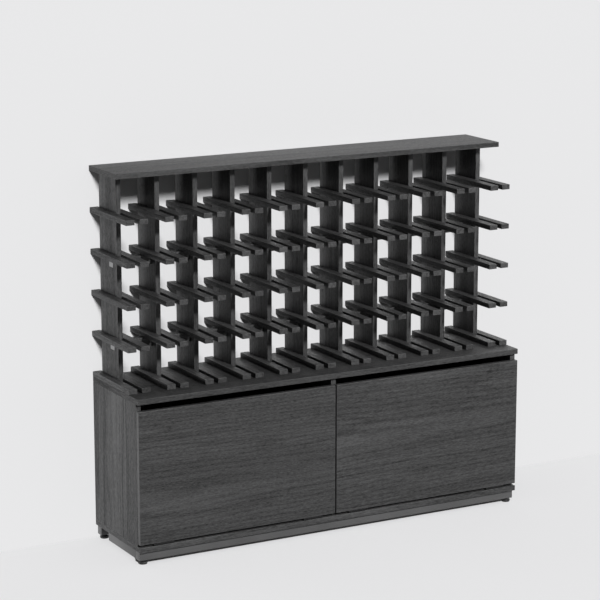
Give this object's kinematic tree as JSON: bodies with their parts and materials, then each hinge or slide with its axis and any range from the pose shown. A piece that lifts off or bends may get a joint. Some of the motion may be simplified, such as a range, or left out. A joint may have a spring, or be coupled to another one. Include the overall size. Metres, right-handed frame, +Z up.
{
  "type": "wine rack",
  "caption": "Freestanding wine rack: rows of wooden bottle rails on slim uprights under a top shelf, on a low cupboard with drop-down flaps, metal plinth and levelling feet.",
  "frame": {"origin": "on the floor, under the middle of the rack's bounding box", "axes": "+X to the right seen from the front, +Y to the rear, +Z up"},
  "size_m": [1.2, 0.293, 1.044],
  "materials": {
    "black_oak": "matt black-stained oak",
    "grey_plinth_paint": "satin dark grey powder coat",
    "dark_hinge_steel": "semi-matt black coated steel",
    "bright_steel": "zinc plated",
    "black_plastic": "moulded, matt"
  },
  "bodies": {
    "rack": {"back_panel": "black_oak", "cabinet_bottom_board": "black_oak", "cabinet_top_board": "black_oak", "centre_divider": "black_oak", "left_side_panel": "black_oak", "right_side_panel": "black_oak", "upper_tie_rail": "black_oak", "lower_tie_rail": "black_oak", "top_shelf": "black_oak", "bottle_frame_01": "black_oak", "bottle_frame_02": "black_oak", "bottle_frame_03": "black_oak", "bottle_frame_04": "black_oak", "bottle_frame_05": "black_oak", "bottle_frame_06": "black_oak", "bottle_frame_07": "black_oak", "bottle_frame_08": "black_oak", "bottle_frame_09": "black_oak", "bottle_frame_10": "black_oak", "bottle_frame_11": "black_oak", "plinth_front_bar": "grey_plinth_paint", "plinth_rear_bar": "grey_plinth_paint", "plinth_left_bar": "grey_plinth_paint", "plinth_right_bar": "grey_plinth_paint", "left_outer_hinge_board_leaf": "dark_hinge_steel", "left_outer_hinge_pin": "dark_hinge_steel", "left_inner_hinge_board_leaf": "dark_hinge_steel", "left_inner_hinge_pin": "dark_hinge_steel", "left_stay_side_plate": "dark_hinge_steel", "right_outer_hinge_board_leaf": "dark_hinge_steel", "right_outer_hinge_pin": "dark_hinge_steel", "right_inner_hinge_board_leaf": "dark_hinge_steel", "right_inner_hinge_pin": "dark_hinge_steel", "right_stay_side_plate": "dark_hinge_steel", "foot_insert_front_left": "bright_steel", "foot_insert_front_right": "bright_steel", "foot_insert_rear_left": "bright_steel", "foot_insert_rear_right": "bright_steel", "left_catch_magnet": "black_plastic", "right_catch_magnet": "black_plastic"},
    "left_flap": {"left_flap": "black_oak", "left_outer_hinge_flap_leaf": "dark_hinge_steel", "left_inner_hinge_flap_leaf": "dark_hinge_steel", "left_stay_flap_bracket": "dark_hinge_steel", "left_catch_plate": "bright_steel"},
    "left_stay_arm": {"left_stay_arm": "dark_hinge_steel"},
    "left_stay_sleeve": {"left_stay_sleeve": "dark_hinge_steel"},
    "right_flap": {"right_flap": "black_oak", "right_outer_hinge_flap_leaf": "dark_hinge_steel", "right_inner_hinge_flap_leaf": "dark_hinge_steel", "right_stay_flap_bracket": "dark_hinge_steel", "right_catch_plate": "bright_steel"},
    "right_stay_arm": {"right_stay_arm": "dark_hinge_steel"},
    "right_stay_sleeve": {"right_stay_sleeve": "dark_hinge_steel"},
    "foot_front_left": {"foot_front_left": "black_plastic"},
    "foot_front_right": {"foot_front_right": "black_plastic"},
    "foot_rear_left": {"foot_rear_left": "black_plastic"},
    "foot_rear_right": {"foot_rear_right": "black_plastic"}
  },
  "joints": [
    {"name": "left_flap_hinge", "type": "hinge", "parent": "rack", "child": "left_flap", "pos_m": [-0.30025, -0.1433, 0.0545], "axis": [1, 0, 0], "range_deg": [0, 90]},
    {"name": "left_stay_arm_pivot", "type": "hinge", "parent": "left_flap", "child": "left_stay_arm", "pos_m": [-0.5775, -0.1193, 0.19243], "axis": [1, 0, 0], "range_deg": [-45, 0]},
    {"name": "left_stay_sleeve_pivot", "type": "hinge", "parent": "rack", "child": "left_stay_sleeve", "pos_m": [-0.5775, -0.0733, 0.17574], "axis": [1, 0, 0], "range_deg": [0, 45]},
    {"name": "right_flap_hinge", "type": "hinge", "parent": "rack", "child": "right_flap", "pos_m": [0.30025, -0.1433, 0.0545], "axis": [1, 0, 0], "range_deg": [0, 90]},
    {"name": "right_stay_arm_pivot", "type": "hinge", "parent": "right_flap", "child": "right_stay_arm", "pos_m": [0.5775, -0.1193, 0.19243], "axis": [1, 0, 0], "range_deg": [-45, 0]},
    {"name": "right_stay_sleeve_pivot", "type": "hinge", "parent": "rack", "child": "right_stay_sleeve", "pos_m": [0.5775, -0.0733, 0.17574], "axis": [1, 0, 0], "range_deg": [0, 45]},
    {"name": "foot_front_left_screw", "type": "slide", "parent": "rack", "child": "foot_front_left", "axis": [0, 0, -1], "range_m": [0, 0.01]},
    {"name": "foot_front_right_screw", "type": "slide", "parent": "rack", "child": "foot_front_right", "axis": [0, 0, -1], "range_m": [0, 0.01]},
    {"name": "foot_rear_left_screw", "type": "slide", "parent": "rack", "child": "foot_rear_left", "axis": [0, 0, -1], "range_m": [0, 0.01]},
    {"name": "foot_rear_right_screw", "type": "slide", "parent": "rack", "child": "foot_rear_right", "axis": [0, 0, -1], "range_m": [0, 0.01]}
  ],
  "couplings": [
    {"joint": "left_stay_arm_pivot", "follows": "left_flap_hinge", "ratio": -0.5},
    {"joint": "left_stay_sleeve_pivot", "follows": "left_flap_hinge", "ratio": 0.5},
    {"joint": "right_stay_arm_pivot", "follows": "right_flap_hinge", "ratio": -0.5},
    {"joint": "right_stay_sleeve_pivot", "follows": "right_flap_hinge", "ratio": 0.5}
  ]
}
